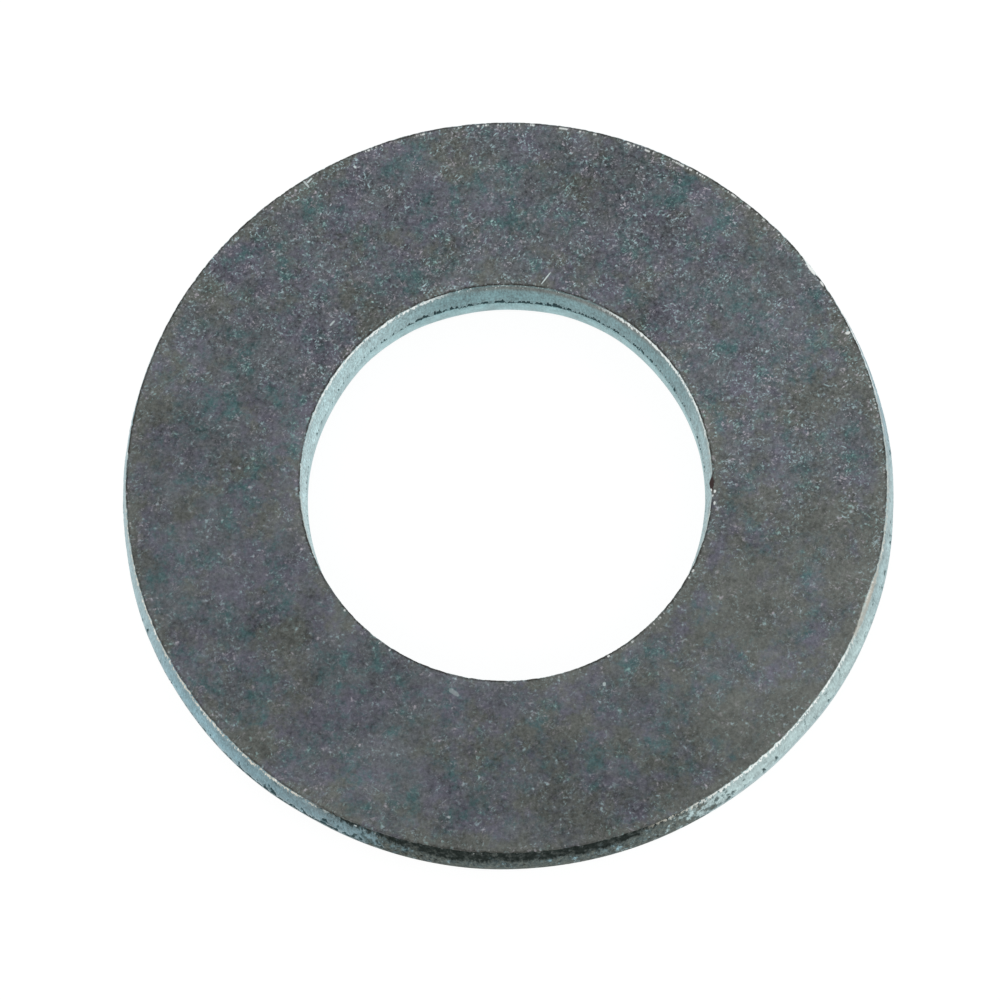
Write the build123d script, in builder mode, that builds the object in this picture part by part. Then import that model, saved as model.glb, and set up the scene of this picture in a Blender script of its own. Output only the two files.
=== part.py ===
from build123d import *
import os

# A flat washer for a 10 mm bolt, stamped from sheet steel and zinc plated.
# It lies with the bore on the Z axis and its lower face at Z = 0. Lengths are in millimetres.
#
# One stroke of the press cuts the rim and the bore from the same side, so both walls have the
# same build, from the lower face up: a roll where the sheet was drawn in, a land that the tool
# wiped smooth, and a torn zone that leans away from the land and ends in a sharp edge.

# The ring
outside_diameter = 20.0
bore_diameter = 10.5
thickness = 2.0

# The outer wall
outer_roll_width = 0.45
outer_roll_height = 1.05
outer_land_height = 0.15
outer_tear_lean = 0.16

# The bore wall
bore_roll_width = 0.20
bore_roll_height = 0.35
bore_land_height = 0.45
bore_tear_lean = 0.06

# Tumbling before the plating dulls both upper edges by this radius.
edge_wear = 0.03

outside_radius = outside_diameter / 2
bore_radius = bore_diameter / 2
outer_land_top = outer_roll_height + outer_land_height
bore_land_top = bore_roll_height + bore_land_height
quarter_turn = 90

with BuildPart() as washer:
    with BuildSketch(Plane.XZ):
        with BuildLine():
            outer_roll = EllipticalCenterArc(
                (outside_radius - outer_roll_width, outer_roll_height),
                outer_roll_width,
                outer_roll_height,
                start_angle=-quarter_turn,
                arc_size=quarter_turn,
            )
            outer_wall = Polyline(
                outer_roll @ 1,
                (outside_radius, outer_land_top),
                (outside_radius - outer_tear_lean, thickness),
            )
            bore_roll = EllipticalCenterArc(
                (bore_radius + bore_roll_width, bore_roll_height),
                bore_roll_width,
                bore_roll_height,
                start_angle=2 * quarter_turn,
                arc_size=quarter_turn,
            )
            bore_wall = Polyline(
                bore_roll @ 0,
                (bore_radius, bore_land_top),
                (bore_radius + bore_tear_lean, thickness),
            )
            Line(bore_wall @ 1, outer_wall @ 1)
            Line(bore_roll @ 1, outer_roll @ 0)
        make_face()
    revolve(axis=Axis.Z)
    upper_face = washer.faces().sort_by(Axis.Z)[-1]
    fillet(upper_face.edges(), radius=edge_wear)

washer.part.label = "washer"

os.makedirs("parts", exist_ok=True)
export_step(washer.part, "parts/washer.step")
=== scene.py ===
"""Looks of a stamped, zinc-plated flat washer, built around its CAD frame.

The washer is one ring of steel. Geometry Nodes turn its section about the bore's axis and
carve what the press tool leaves on it: torn walls, a ragged line above each smooth land, and
nicks along both sharp upper edges. A procedural finish gives the plating its mottled film,
its fine pale specks and the brighter metal of the cut walls, and paints glints, highlights and
shade into its colour. All lengths are in metres.
"""

import logging
import math
from dataclasses import dataclass, field
from enum import Enum
from typing import Any, Callable, Sequence

import bpy
from mathutils import Euler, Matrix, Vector


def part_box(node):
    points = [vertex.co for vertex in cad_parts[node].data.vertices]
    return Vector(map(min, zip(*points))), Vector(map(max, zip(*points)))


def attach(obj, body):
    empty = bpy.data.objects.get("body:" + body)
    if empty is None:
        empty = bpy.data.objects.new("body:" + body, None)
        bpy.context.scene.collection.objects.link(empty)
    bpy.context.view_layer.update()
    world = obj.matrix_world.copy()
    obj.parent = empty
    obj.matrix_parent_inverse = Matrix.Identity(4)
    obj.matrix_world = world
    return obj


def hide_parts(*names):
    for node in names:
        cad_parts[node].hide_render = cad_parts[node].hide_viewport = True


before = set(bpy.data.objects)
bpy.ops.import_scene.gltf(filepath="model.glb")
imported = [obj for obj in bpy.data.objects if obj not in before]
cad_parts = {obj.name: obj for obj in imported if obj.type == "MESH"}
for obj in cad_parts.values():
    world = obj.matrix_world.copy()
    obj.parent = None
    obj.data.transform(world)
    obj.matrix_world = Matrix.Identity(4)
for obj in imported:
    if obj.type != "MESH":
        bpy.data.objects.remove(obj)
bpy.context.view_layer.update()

MM = 0.001
FULL_TURN = 2.0 * math.pi
WHITE = (1.0, 1.0, 1.0)
NOISE_MEAN = 0.5
SEED_SHIFT = (31.7, -17.3, 23.9)  # how far a noise pattern moves when its seed grows by 1
ON_WALL, ON_FACE = 1.0, 0.0  # what marks a band of a wall, and a band of a flat face

log = logging.getLogger("washer")

Socket = bpy.types.NodeSocket
Value = Any
Colour = tuple[float, float, float]


class Wall(Enum):
    """The two walls of the ring, with the way from each wall into the metal."""

    RIM = -1.0
    BORE = 1.0


def mm(*lengths: float) -> tuple[float, ...]:
    """Returns lengths in metres that are given in millimetres."""
    return tuple(length * MM for length in lengths)


# --------------------------------------------------------------------------------------
# Node graphs
# --------------------------------------------------------------------------------------


@dataclass
class Graph:
    """Short ways to add nodes to a node tree and to link them.

    Args:
        tree: the shader, world or geometry tree to fill.
    """

    tree: bpy.types.NodeTree

    def put(self, socket: Socket, value: Value) -> None:
        """Links a socket into an input, or sets the input's own value.

        Args:
            socket: the input.
            value: an output socket, or a constant.
        """
        if isinstance(value, bpy.types.NodeSocket):
            self.tree.links.new(value, socket)
        elif socket.type == "RGBA":
            socket.default_value = (*value, 1.0)
        else:
            socket.default_value = value

    def add(self, kind: str, inputs: dict[Any, Value] | None = None, **settings: Any) -> bpy.types.Node:
        """Adds one node.

        Args:
            kind: the node's type name.
            inputs: values by the input's name or number.
            settings: the node's own properties.

        Returns:
            The new node.
        """
        node = self.tree.nodes.new(kind)
        for name, value in settings.items():
            setattr(node, name, value)
        for name, value in (inputs or {}).items():
            socket = node.inputs[name] if isinstance(name, int) else self.named(node.inputs, name)
            self.put(socket, value)
        return node

    def named(self, sockets: Sequence[Socket], name: str) -> Socket:
        """Returns the socket in use that has a name, as a node may keep others of that name unused."""
        return next(socket for socket in sockets if socket.name == name and socket.enabled)

    def math(self, operation: str, *values: Value) -> Socket:
        """Returns the result of a Math node."""
        return self.add("ShaderNodeMath", dict(enumerate(values)), operation=operation).outputs[0]

    def chain(self, operation: str, values: Sequence[Value]) -> Value:
        """Works one operation out over several values, from the first to the last.

        Args:
            operation: the Math node's operation.
            values: the values.

        Returns:
            The last result.
        """
        result = values[0]
        for value in values[1:]:
            result = self.math(operation, result, value)
        return result

    def total(self, *values: Value) -> Value:
        """Returns the sum of several values."""
        return self.chain("ADD", values)

    def product(self, *values: Value) -> Value:
        """Returns the product of several values."""
        return self.chain("MULTIPLY", values)

    def most(self, *values: Value) -> Value:
        """Returns the largest of several values."""
        return self.chain("MAXIMUM", values)

    def minus(self, a: Value, b: Value) -> Socket:
        """Returns a less b."""
        return self.math("SUBTRACT", a, b)

    def ratio(self, a: Value, b: Value) -> Socket:
        """Returns a over b."""
        return self.math("DIVIDE", a, b)

    def rest(self, value: Value) -> Socket:
        """Returns what is left of 1 after the value is taken away."""
        return self.minus(1.0, value)

    def length(self, *parts: Value) -> Socket:
        """Returns the length of a vector from its parts."""
        return self.math("SQRT", self.total(*(self.product(part, part) for part in parts)))

    def blend(self, a: Value, b: Value, share: Value) -> Socket:
        """Returns the value that lies the given share of the way from a to b."""
        return self.total(a, self.product(self.minus(b, a), share))

    def rise(self, value: Value, start: Value, end: Value, low: Value = 0.0, high: Value = 1.0) -> Socket:
        """Works out a smooth step of a value.

        Args:
            value: the value.
            start: where the step starts.
            end: where it ends, which may be below the start.
            low: the result up to the start.
            high: the result from the end.

        Returns:
            The result, between low and high.
        """
        node = self.add("ShaderNodeMapRange", interpolation_type="SMOOTHSTEP")
        items = {"Value": value, "From Min": start, "From Max": end, "To Min": low, "To Max": high}
        for name, item in items.items():
            self.put(node.inputs[name], item)
        return node.outputs[0]

    def bell(self, value: Value, centre: Value, width: Value) -> Socket:
        """Returns a bell curve of the value, 1 at its centre."""
        away = self.ratio(self.minus(value, centre), width)
        return self.math("EXPONENT", self.product(-1.0, away, away))

    def mix(self, a: Value, b: Value, share: Value) -> Socket:
        """Returns the colour that lies the given share of the way from a to b."""
        node = self.add("ShaderNodeMix", {"Factor": share, "A": a, "B": b}, data_type="RGBA")
        return self.named(node.outputs, "Result")

    def arrow(self, operation: str, inputs: dict[Any, Value]) -> Socket:
        """Returns the result of a Vector Math node."""
        return self.add("ShaderNodeVectorMath", inputs, operation=operation).outputs[0]

    def scale(self, vector: Value, factor: Value) -> Socket:
        """Returns a vector or a colour times a factor."""
        return self.arrow("SCALE", {0: vector, "Scale": factor})

    def vector(self, x: Value, y: Value, z: Value) -> Socket:
        """Returns a vector made of three values."""
        return self.add("ShaderNodeCombineXYZ", {0: x, 1: y, 2: z}).outputs[0]

    def parts(self, vector: Value) -> Sequence[Socket]:
        """Returns the three values that a vector is made of."""
        return self.add("ShaderNodeSeparateXYZ", {0: vector}).outputs

    def noise(self, place: Value, cells: float, detail: float, roughness: float, seed: Value) -> Socket:
        """Returns noise between 0 and 1 at a place.

        Args:
            place: the place, as a vector.
            cells: the number of noise cells in one unit of the place.
            detail: how many finer layers are added.
            roughness: how strong each finer layer is, against the one before it.
            seed: picks one pattern from many.

        Returns:
            The noise's value.
        """
        shift = self.vector(*(self.product(step, seed) for step in SEED_SHIFT))
        spot = self.arrow("MULTIPLY_ADD", {0: place, 1: (cells,) * 3, 2: shift})
        node = self.add("ShaderNodeTexNoise", noise_dimensions="3D")
        for name, item in {"Vector": spot, "Scale": 1.0, "Detail": detail, "Roughness": roughness}.items():
            self.put(node.inputs[name], item)
        return node.outputs["Fac"]


@dataclass(frozen=True)
class Sector:
    """A stretch of the ring, seen from the axis.

    Args:
        bearing: the direction of its middle in degrees, 0 being +X and 90 being +Y.
        half_width: the angle from its middle to either end.
        softness: how wide the fade at each end is, to each side of that end.
        strength: what it counts for, 1 being in full.
    """

    bearing: float
    half_width: float
    softness: float
    strength: float = 1.0


@dataclass
class RingPlace:
    """Where a point of the ring lies, as cylinder coordinates read from its position.

    Args:
        graph: the graph that works the values out.
        position: the point's own place, with the bore's axis as Z.
    """

    graph: Graph
    position: Socket
    radius: Socket = field(init=False)
    height: Socket = field(init=False)
    east: Socket = field(init=False)
    north: Socket = field(init=False)

    def __post_init__(self) -> None:
        """Works out the radius, the height and the direction from the axis."""
        g = self.graph
        x, y, self.height = g.parts(self.position)
        self.radius = g.length(x, y)
        self.east = g.ratio(x, self.radius)
        self.north = g.ratio(y, self.radius)

    def around(self, turns: float, upright: float) -> Socket:
        """Returns a place for noise that follows the ring without a seam.

        Args:
            turns: how many noise cells fit along one radian.
            upright: how many noise cells fit in a metre of height.

        Returns:
            The vector for the noise's place.
        """
        g = self.graph
        cells = ((self.east, turns), (self.north, turns), (self.height, upright))
        return g.vector(*(g.product(part, count) for part, count in cells))

    def towards(self, degrees: float) -> Socket:
        """Works out the cosine of the angle between the point and a direction.

        Args:
            degrees: the direction from the axis, 0 being +X and 90 being +Y.

        Returns:
            The cosine.
        """
        g = self.graph
        bearing = math.radians(degrees)
        return g.total(g.product(self.east, math.cos(bearing)), g.product(self.north, math.sin(bearing)))

    def turned_from(self, degrees: float) -> Socket:
        """Returns the angle between the point and a direction in radians, as long as it is small."""
        g = self.graph
        return g.math("SQRT", g.product(2.0, g.rest(self.towards(degrees))))

    def sector(self, sector: Sector) -> Socket:
        """Works out how far a point lies inside a sector of the ring.

        Args:
            sector: the sector, whose strength isn't counted.

        Returns:
            1 inside, falling to 0 across the soft ends.
        """
        outer = math.cos(math.radians(sector.half_width + sector.softness))
        inner = math.cos(math.radians(max(sector.half_width - sector.softness, 0.0)))
        return self.graph.rise(self.towards(sector.bearing), outer, inner)

    def shares(self, sectors: Sequence[Sector]) -> Sequence[Socket]:
        """Returns how strongly a point lies in each of several sectors."""
        return [self.graph.product(self.sector(sector), sector.strength) for sector in sectors]

    def sectors(self, sectors: Sequence[Sector]) -> Value:
        """Returns how strongly a point lies in any of several sectors."""
        return self.graph.most(0.0, *self.shares(sectors))

    def apart(self, radius: float, height: Value) -> Socket:
        """Returns how far the point is from a circle about the axis."""
        g = self.graph
        return g.length(g.minus(self.radius, radius), g.minus(self.height, height))


@dataclass(frozen=True)
class Ramp:
    """A smooth step.

    Args:
        start: the value at which it starts.
        end: the value at which it ends.
        low: its result up to the start.
        high: its result from the end.
    """

    start: float
    end: float
    low: float = 0.0
    high: float = 1.0

    def at(self, g: Graph, value: Value) -> Socket:
        """Returns the step's result for a value."""
        return g.rise(value, self.start, self.end, self.low, self.high)


@dataclass(frozen=True)
class Pattern:
    """Noise that is the same in every direction.

    Args:
        cells: how many of its cells fit in a metre.
        detail: how many finer layers are added.
        roughness: how strong each finer layer is, against the one before it.
        seed: picks one pattern from many.
        strength: what its swing is multiplied by.
    """

    cells: float
    detail: float
    roughness: float
    seed: float
    strength: float = 1.0

    def at(self, place: RingPlace) -> Socket:
        """Returns the noise at a place, from 0 to 1."""
        return place.graph.noise(place.position, self.cells, self.detail, self.roughness, self.seed)

    def swing(self, place: RingPlace) -> Socket:
        """Returns how far the noise lies from its mean, times the strength."""
        g = place.graph
        return g.product(self.strength, g.minus(self.at(place), NOISE_MEAN))


@dataclass(frozen=True)
class WallPattern:
    """Noise that follows a wall round the ring.

    Args:
        length: how long one of its cells is along the wall.
        upright: how many of its cells fit in a metre of height.
        detail: how many finer layers are added.
        roughness: how strong each finer layer is, against the one before it.
        seed: picks one pattern from many.
        strength: what its swing is multiplied by.
    """

    length: float
    upright: float
    detail: float
    roughness: float
    seed: float
    strength: float = 1.0

    def at(self, place: RingPlace, radius: float, base: Value = 0.0) -> Socket:
        """Returns the noise at a place, from 0 to 1.

        Args:
            place: where the point lies.
            radius: the wall's radius.
            base: a number that is added to the seed.

        Returns:
            The noise's value.
        """
        g = place.graph
        spot = place.around(radius / self.length, self.upright)
        return g.noise(spot, 1.0, self.detail, self.roughness, g.total(base, self.seed))

    def swing(self, place: RingPlace, radius: float, base: Value = 0.0) -> Socket:
        """Returns how far the noise lies from its mean, times the strength."""
        g = place.graph
        return g.product(self.strength, g.minus(self.at(place, radius, base), NOISE_MEAN))


# --------------------------------------------------------------------------------------
# The ring's shape
# --------------------------------------------------------------------------------------


@dataclass(frozen=True)
class WallForm:
    """One wall of the ring as the press leaves it, from the lower face up.

    Args:
        side: which wall it is.
        radius: the radius of the smooth land.
        roll_width: how far the lower edge is drawn in along the lower face.
        roll_height: how far the lower edge is drawn in up the wall.
        land_height: the height of the smooth land.
        tear_lean: how far the torn zone leans away from the land at the upper face.
        roll_rows: the number of faces up the roll.
        land_rows: the number of faces up the land.
        torn_rows: the number of faces up the torn zone.
        notches: where the notches above the land lie.
        notch_height: how far they reach up.
        notch_gaps: how much of the line above the land they leave free, from 0 to 1.
        ragged: where they are close and deep.
        torn_deeper: how much lower the torn zone reaches there.
        wander: how far the line above the land rises and falls.
        drift: how far along X the land's centre lies from the axis of the frame.
        swell: how far the wall stands out of round below its edge, at most.
        swollen: where it does, with a strength below 0 where it lies inside the round.
    """

    side: Wall
    radius: float
    roll_width: float
    roll_height: float
    land_height: float
    tear_lean: float
    roll_rows: int
    land_rows: int
    torn_rows: int
    notches: WallPattern
    notch_height: float
    notch_gaps: float
    ragged: Sequence[Sector]
    torn_deeper: float
    wander: float
    drift: float
    swell: float
    swollen: Sequence[Sector]

    @property
    def land_top(self) -> float:
        """The height at which the torn zone starts."""
        return self.roll_height + self.land_height

    @property
    def edge_radius(self) -> float:
        """The radius of the sharp upper edge."""
        return self.radius + self.side.value * self.tear_lean


@dataclass
class TornLine:
    """The ragged line on a wall above which the metal is torn, with the notches that stand on it.

    Args:
        place: where the point lies.
        wall: the wall's sizes.
        seed: picks the random patterns.
        waves: the slow rise and fall of the line.
        jags: its small teeth.
        fade: how sharply the torn metal starts at it.
        thinning: how much rarer the notches are outside the ragged stretches, and at their tips.
        softness: how soft the outline of a notch is.
    """

    place: RingPlace
    wall: WallForm
    seed: Value
    waves: WallPattern = WallPattern(0.9 * MM, 0.0, 3.0, 0.6, 0.0)
    jags: WallPattern = WallPattern(0.11 * MM, 0.0, 3.0, 0.6, 30.0, 0.20 * MM)
    fade: Ramp = Ramp(-0.02 * MM, 0.03 * MM)
    thinning: float = 0.16
    softness: float = 0.11
    tear: Socket = field(init=False)
    notch: Socket = field(init=False)

    def __post_init__(self) -> None:
        """Works out where the wall is torn and where it is notched."""
        place, wall, radius = self.place, self.wall, self.wall.radius
        g = place.graph
        ragged = place.sectors(wall.ragged)
        wave = g.product(wall.wander, self.waves.swing(place, radius, self.seed))
        jag = self.jags.swing(place, radius, self.seed)
        above = g.minus(place.height, g.total(wall.land_top, wave, jag, g.product(ragged, -wall.torn_deeper)))
        self.tear = self.fade.at(g, above)
        need = g.total(wall.notch_gaps, g.product(self.thinning, g.rest(ragged)),
                       g.product(self.thinning / wall.notch_height, above))
        bites = wall.notches.at(place, radius, self.seed)
        self.notch = g.product(self.tear, g.rise(bites, need, g.total(need, self.softness)))


@dataclass(frozen=True)
class Nick:
    """A dent in an upper edge, or a burr on it, at a place on the ring.

    Args:
        bearing: its direction from the axis in degrees, 0 being +X and 90 being +Y.
        length: its length along the edge.
        depth: how deep it goes into the metal, below 0 for a burr that stands out.
    """

    bearing: float
    length: float
    depth: float


@dataclass
class Ring:
    """The washer's body: its sizes, its mesh and what the press and the plating leave on it.

    Args:
        node: the frame's node that it stands for.
        body: the body that it rides on.
        slot: the record's material slot, not used.
        edge_wear: how far both upper edges are rounded.
        margin: the width of the finely divided band of the upper face beside each edge.
        tear_relief: how rough the torn zones are.
        notch_relief: how deep the notches above the lands are.
        nick_relief: how deep the random dents of the edges are.
        nick_spread: how far a dent reaches from its edge.
        dents: where the random dents lie.
        dent_step: how many of them there are.
        grain: the grain of the torn zones.
        segments: the number of faces round the ring.
        edge_rows: the number of faces round each worn edge.
        band_rows: the number of faces across each band beside an edge.
        upper_rows: the number of faces across the rest of the upper face.
        lower_rows: the number of faces across the lower face.
        weld: how near two points are to be merged.
        seed: picks the random patterns.
        edge_drift: how far along X the upper edges' centre lies from the axis of the frame.
        rim: the outer wall.
        bore: the inner wall.
        rim_nicks: the listed dents in the outer edge.
        bore_nicks: the listed burr on the inner edge.
    """

    node: str = "washer"
    body: str = "root"
    slot: str = "zinc_plate"
    edge_wear: float = 0.03 * MM
    margin: float = 0.22 * MM
    tear_relief: float = 0.018 * MM
    notch_relief: float = 0.035 * MM
    nick_relief: float = 0.020 * MM
    nick_spread: float = 0.055 * MM
    dents: WallPattern = WallPattern(0.18 * MM, 0.0, 4.0, 0.7, 40.0)
    dent_step: Ramp = Ramp(0.40, 0.80)
    grain: WallPattern = WallPattern(0.1 * MM, 2.0 / MM, 3.0, 0.6, 20.0)
    segments: int = 1400
    edge_rows: int = 3
    band_rows: int = 5
    upper_rows: int = 4
    lower_rows: int = 3
    weld: float = 0.001 * MM
    seed: float = 7.0
    edge_drift: float = -0.03 * MM
    rim: WallForm = WallForm(
        side=Wall.RIM, radius=10.0 * MM, roll_width=0.45 * MM, roll_height=1.05 * MM, land_height=0.15 * MM,
        tear_lean=0.16 * MM, roll_rows=9, land_rows=2, torn_rows=11,
        notches=WallPattern(0.15 * MM, 2.4 / MM, 2.0, 0.48, 50.0), notch_height=0.36 * MM, notch_gaps=0.435,
        ragged=(Sector(229.0, 25.0, 12.0, 1.6), Sector(282.0, 14.0, 8.0, 0.8)),
        torn_deeper=0.28 * MM, wander=0.16 * MM, drift=0.0, swell=0.065 * MM,
        swollen=(Sector(210.0, 16.0, 11.0), Sector(333.0, 12.0, 8.0, 0.85), Sector(22.0, 12.0, 10.0, -0.5),
                 Sector(285.0, 14.0, 12.0, -0.4)))
    bore: WallForm = WallForm(
        side=Wall.BORE, radius=5.25 * MM, roll_width=0.20 * MM, roll_height=0.35 * MM, land_height=0.45 * MM,
        tear_lean=0.06 * MM, roll_rows=5, land_rows=3, torn_rows=12,
        notches=WallPattern(0.065 * MM, 2.4 / MM, 2.0, 0.48, 50.0), notch_height=0.12 * MM, notch_gaps=0.31,
        ragged=(Sector(84.0, 32.0, 10.0), Sector(34.0, 18.0, 12.0, 0.5)),
        torn_deeper=0.0, wander=0.28 * MM, drift=-0.06 * MM, swell=0.075 * MM,
        swollen=(Sector(6.0, 36.0, 14.0, 0.78), Sector(91.0, 12.0, 11.0, 0.50), Sector(170.0, 28.0, 14.0)))
    rim_nicks: Sequence[Nick] = (Nick(32.0, 0.60 * MM, 0.025 * MM), Nick(337.0, 1.10 * MM, 0.035 * MM))
    bore_nicks: Sequence[Nick] = (Nick(-5.4, 0.36 * MM, -0.085 * MM),)

    def __post_init__(self) -> None:
        """Takes the thickness from the frame."""
        low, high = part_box(self.node)
        self.thickness = high.z - low.z

    def worn_foot(self, wall: WallForm) -> float:
        """Returns the radius of a wall where the rounding of its upper edge starts."""
        lean = wall.tear_lean / (self.thickness - wall.land_top)
        return wall.edge_radius - wall.side.value * lean * self.edge_wear

    def place(self, g: Graph, position: Socket) -> tuple[RingPlace, Socket]:
        """Works out where a point lies on the ring.

        Args:
            g: the graph that works it out.
            position: the point's own place.

        Returns:
            Its place about the axis of the upper edges, and 1 nearer the bore or 0 nearer the rim.
        """
        place = RingPlace(g, g.arrow("SUBTRACT", {0: position, 1: (self.edge_drift, 0.0, 0.0)}))
        middle = (self.rim.radius + self.bore.radius) / 2
        return place, g.math("LESS_THAN", place.radius, middle)

    def build(self, material: bpy.types.Material) -> bpy.types.Object:
        """Makes the ring and hangs it on the frame.

        Args:
            material: the finish that dresses it.

        Returns:
            The finished piece.
        """
        tree = RingTree(self).build()
        piece = bpy.data.objects.new("stamped_ring", bpy.data.meshes.new("section"))
        bpy.context.scene.collection.objects.link(piece)
        modifier = piece.modifiers.new("turned_section", "NODES")
        modifier.node_group = tree
        values = {"Segments": self.segments, "Thickness": self.thickness, "Seed": self.seed,
                  "Finish": material}
        for item in tree.interface.items_tree:
            if item.in_out == "INPUT" and item.name in values:
                modifier[item.identifier] = values[item.name]
        evaluated = piece.evaluated_get(bpy.context.evaluated_depsgraph_get())
        mesh = bpy.data.meshes.new_from_object(evaluated)
        piece.modifiers.remove(modifier)
        piece.data = mesh
        mesh.name = "stamped_ring"
        mesh.shade_smooth()
        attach(piece, self.body)
        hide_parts(self.node)
        log.info("%s: %d faces", piece.name, len(mesh.polygons))
        return piece


SectionPoint = tuple[Value, Value, Value]
Along = Callable[[Socket], Value]


@dataclass
class RingTree:
    """The geometry tree that turns the section and carves it.

    A section point is its radius, its height and its drift along X.

    Args:
        ring: the ring whose sizes the tree takes.
        grid_side: the side of the grid that each band is bent from.
    """

    ring: Ring
    grid_side: float = 1.0

    def build(self) -> bpy.types.NodeTree:
        """Makes the tree.

        Returns:
            The node group, with named inputs for what a modifier sets.
        """
        tree = bpy.data.node_groups.new("turned_section", "GeometryNodeTree")
        sockets = {"Geometry": "Geometry", "Segments": "Int", "Thickness": "Float", "Seed": "Float",
                   "Finish": "Material"}
        for name, kind in sockets.items():
            tree.interface.new_socket(name, in_out="INPUT", socket_type=f"NodeSocket{kind}")
        tree.interface.new_socket("Geometry", in_out="OUTPUT", socket_type="NodeSocketGeometry")
        self.graph = g = Graph(tree)
        self.inputs = g.add("NodeGroupInput").outputs
        self.join = g.add("GeometryNodeJoinGeometry")
        self.turn_section()
        bands = {"Geometry": self.join.outputs[0], "Distance": self.ring.weld}
        merged = g.add("GeometryNodeMergeByDistance", bands)
        carved = self.carve(merged.outputs[0])
        realized = g.add("GeometryNodeRealizeInstances", {0: carved})
        finish = {"Geometry": realized.outputs[0], "Material": self.inputs["Finish"]}
        dressed = g.add("GeometryNodeSetMaterial", finish)
        g.add("NodeGroupOutput", {0: dressed.outputs[0]})
        return tree

    def strip(self, rows: int, radius_at: Along, height_at: Along, drift_at: Along, mark: float) -> None:
        """Adds one band of the section, turned about the axis.

        Args:
            rows: the number of faces across the band.
            radius_at: gives the radius for a share of the way across.
            height_at: gives the height for a share of the way across.
            drift_at: gives how far along X the circle's centre lies from the axis.
            mark: ON_WALL or ON_FACE.
        """
        g, side = self.graph, self.grid_side
        around = g.total(self.inputs["Segments"], 1)
        size = {"Size X": side, "Size Y": side, "Vertices X": around, "Vertices Y": rows + 1}
        grid = g.add("GeometryNodeMeshGrid", size)
        x, y, _ = g.parts(g.add("GeometryNodeInputPosition").outputs[0])
        turn = g.product(g.total(x, side / 2), FULL_TURN / side)
        share = g.total(y, side / 2)
        radius, height = radius_at(share), height_at(share)
        along_x = g.total(g.product(radius, g.math("COSINE", turn)), drift_at(share))
        spot = g.vector(along_x, g.product(radius, g.math("SINE", turn)), height)
        moved = g.add("GeometryNodeSetPosition", {"Geometry": grid.outputs[0], "Position": spot})
        marked = g.add("GeometryNodeStoreNamedAttribute",
                       {"Geometry": moved.outputs[0], "Name": "on_wall", "Value": mark}, data_type="FLOAT")
        g.tree.links.new(marked.outputs[0], self.join.inputs[0])

    def line(self, rows: int, start: SectionPoint, end: SectionPoint, mark: float) -> None:
        """Adds a straight band between two points of the section.

        Args:
            rows: the number of faces across the band.
            start: the first point.
            end: the last one.
            mark: ON_WALL or ON_FACE.
        """
        g = self.graph

        def along(axis: int) -> Along:
            """Returns what gives one part of a point for a share of the way."""
            return lambda t: g.blend(start[axis], end[axis], t)

        self.strip(rows, along(0), along(1), along(2), mark)

    def bend(self, rows: int, start: SectionPoint, corner: SectionPoint, end: SectionPoint) -> None:
        """Adds a band of a wall that rounds a corner point without reaching it.

        Args:
            rows: the number of faces across the band.
            start: the first point.
            corner: the point that it bends round.
            end: the last point.
        """
        g = self.graph

        def along(axis: int) -> Along:
            """Returns what gives one part of a point for a share of the way."""

            def at(t: Socket) -> Socket:
                """Returns that part of the point."""
                first = g.blend(start[axis], corner[axis], t)
                second = g.blend(corner[axis], end[axis], t)
                return g.blend(first, second, t)

            return at

        self.strip(rows, along(0), along(1), along(2), ON_WALL)

    def roll(self, wall: WallForm, downward: bool) -> None:
        """Adds the quarter ellipse at the foot of a wall.

        Args:
            wall: the wall's sizes.
            downward: True where the section runs down the wall.
        """
        g = self.graph

        def angle(t: Socket) -> Socket:
            """Returns the ellipse's angle for a share of the way."""
            return g.product(g.rest(t) if downward else t, FULL_TURN / 4)

        def radius_at(t: Socket) -> Socket:
            """Returns the radius for a share of the way."""
            inset = g.product(wall.roll_width, g.rest(g.math("SINE", angle(t))))
            return g.total(wall.radius, g.product(wall.side.value, inset))

        def height_at(t: Socket) -> Socket:
            """Returns the height for a share of the way."""
            return g.product(wall.roll_height, g.rest(g.math("COSINE", angle(t))))

        self.strip(wall.roll_rows, radius_at, height_at, lambda t: wall.drift, ON_WALL)

    def turn_section(self) -> None:
        """Adds every band: up the rim, in along the upper face, down the bore and back below."""
        ring, top = self.ring, self.inputs["Thickness"]
        drift, below = ring.edge_drift, self.graph.minus(top, ring.edge_wear)
        foot, low_land, land_top, wall_end, corner, face_end, band_end = ({} for _ in range(7))
        for wall in (ring.rim, ring.bore):
            side, into = wall.side, wall.side.value
            foot[side] = (wall.radius + into * wall.roll_width, 0.0, wall.drift)
            low_land[side] = (wall.radius, wall.roll_height, wall.drift)
            land_top[side] = (wall.radius, wall.land_top, wall.drift)
            wall_end[side] = (ring.worn_foot(wall), below, drift)
            corner[side] = (wall.edge_radius, top, drift)
            face_end[side] = (wall.edge_radius + into * ring.edge_wear, top, drift)
            band_end[side] = (face_end[side][0] + into * ring.margin, top, drift)
        rim, bore = Wall.RIM, Wall.BORE
        self.roll(ring.rim, downward=False)
        self.line(ring.rim.land_rows, low_land[rim], land_top[rim], ON_WALL)
        self.line(ring.rim.torn_rows, land_top[rim], wall_end[rim], ON_WALL)
        self.bend(ring.edge_rows, wall_end[rim], corner[rim], face_end[rim])
        self.line(ring.band_rows, face_end[rim], band_end[rim], ON_FACE)
        self.line(ring.upper_rows, band_end[rim], band_end[bore], ON_FACE)
        self.line(ring.band_rows, band_end[bore], face_end[bore], ON_FACE)
        self.bend(ring.edge_rows, face_end[bore], corner[bore], wall_end[bore])
        self.line(ring.bore.torn_rows, wall_end[bore], land_top[bore], ON_WALL)
        self.line(ring.bore.land_rows, land_top[bore], low_land[bore], ON_WALL)
        self.roll(ring.bore, downward=True)
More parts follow.
